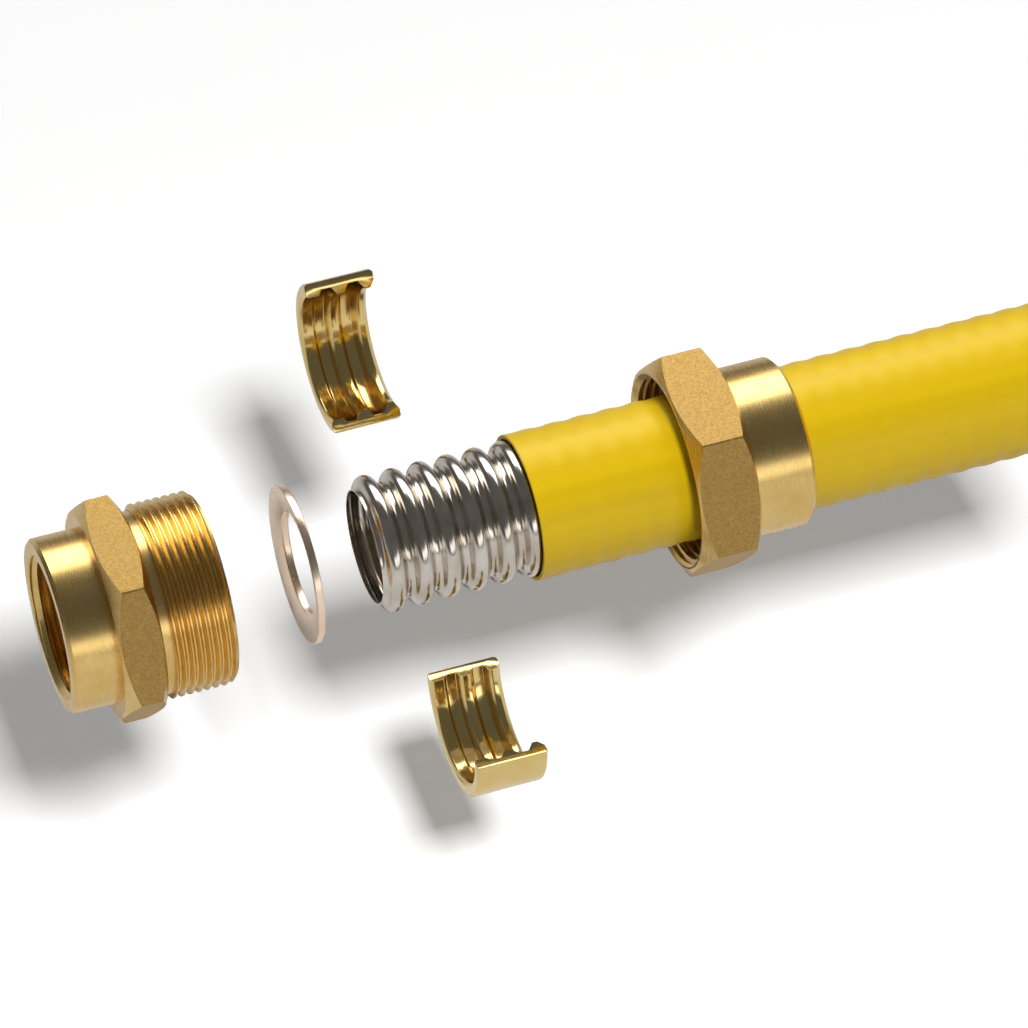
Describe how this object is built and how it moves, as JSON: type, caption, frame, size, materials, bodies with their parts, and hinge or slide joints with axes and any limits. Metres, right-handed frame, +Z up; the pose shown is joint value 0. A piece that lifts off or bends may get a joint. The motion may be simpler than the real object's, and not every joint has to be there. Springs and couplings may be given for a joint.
{
  "type": "flare fitting",
  "caption": "Brass flare fitting for corrugated stainless gas pipe, with dished gasket, split ring and union nut laid out along the pipe end.",
  "frame": {"origin": "on the pipe's axis at the far end of the pipe sample, away from the fitting", "axes": "+X along the pipe, from the fitting towards the pipe; +Z up; +Y away from the viewer"},
  "size_m": [0.2528, 0.1319, 0.0781],
  "materials": {
    "brass_body": "forged and turned, satin",
    "brass_nut": "forged and turned, satin",
    "brass_ring": "turned, bright",
    "copper": "annealed copper, bright",
    "stainless": "rolled and formed, bright",
    "yellow_plastic": "smooth extruded",
    "rubber": "matte"
  },
  "bodies": {
    "pipe": {"corrugated_tube": "stainless", "jacket": "yellow_plastic"},
    "seal": {"jacket_seal": "rubber"},
    "nut": {"flare_nut": "brass_nut"},
    "gasket": {"copper_gasket": "copper"},
    "body": {"fitting_body": "brass_body"},
    "ring_upper": {"split_ring_upper": "brass_ring"},
    "ring_lower": {"split_ring_lower": "brass_ring"}
  },
  "joints": [
    {"name": "nut_slide", "type": "slide", "parent": "pipe", "child": "seal", "axis": [-1, 0, 0], "range_m": [0, 0.0622]},
    {"name": "nut_turn", "type": "hinge", "parent": "seal", "child": "nut", "pos_m": [-0.0908, 0, 0], "axis": [-1, 0, 0], "range_deg": [0, 2520]},
    {"name": "gasket_slide", "type": "slide", "parent": "pipe", "child": "gasket", "axis": [1, 0, 0], "range_m": [0, 0.014]},
    {"name": "body_slide", "type": "slide", "parent": "gasket", "child": "body", "axis": [1, 0, 0], "range_m": [0, 0.039]},
    {"name": "upper_ring_swing", "type": "hinge", "parent": "pipe", "child": "ring_upper", "pos_m": [-0.1584, 0.0274, -0.0678], "axis": [1, 0, 0], "range_deg": [0, 56]},
    {"name": "lower_ring_swing", "type": "hinge", "parent": "pipe", "child": "ring_lower", "pos_m": [-0.1584, 0.0164, -0.0407], "axis": [-1, 0, 0], "range_deg": [0, 60]}
  ],
  "couplings": [
    {"joint": "gasket_slide", "follows": "nut_turn", "m_per_rad": 0.00031831}
  ]
}
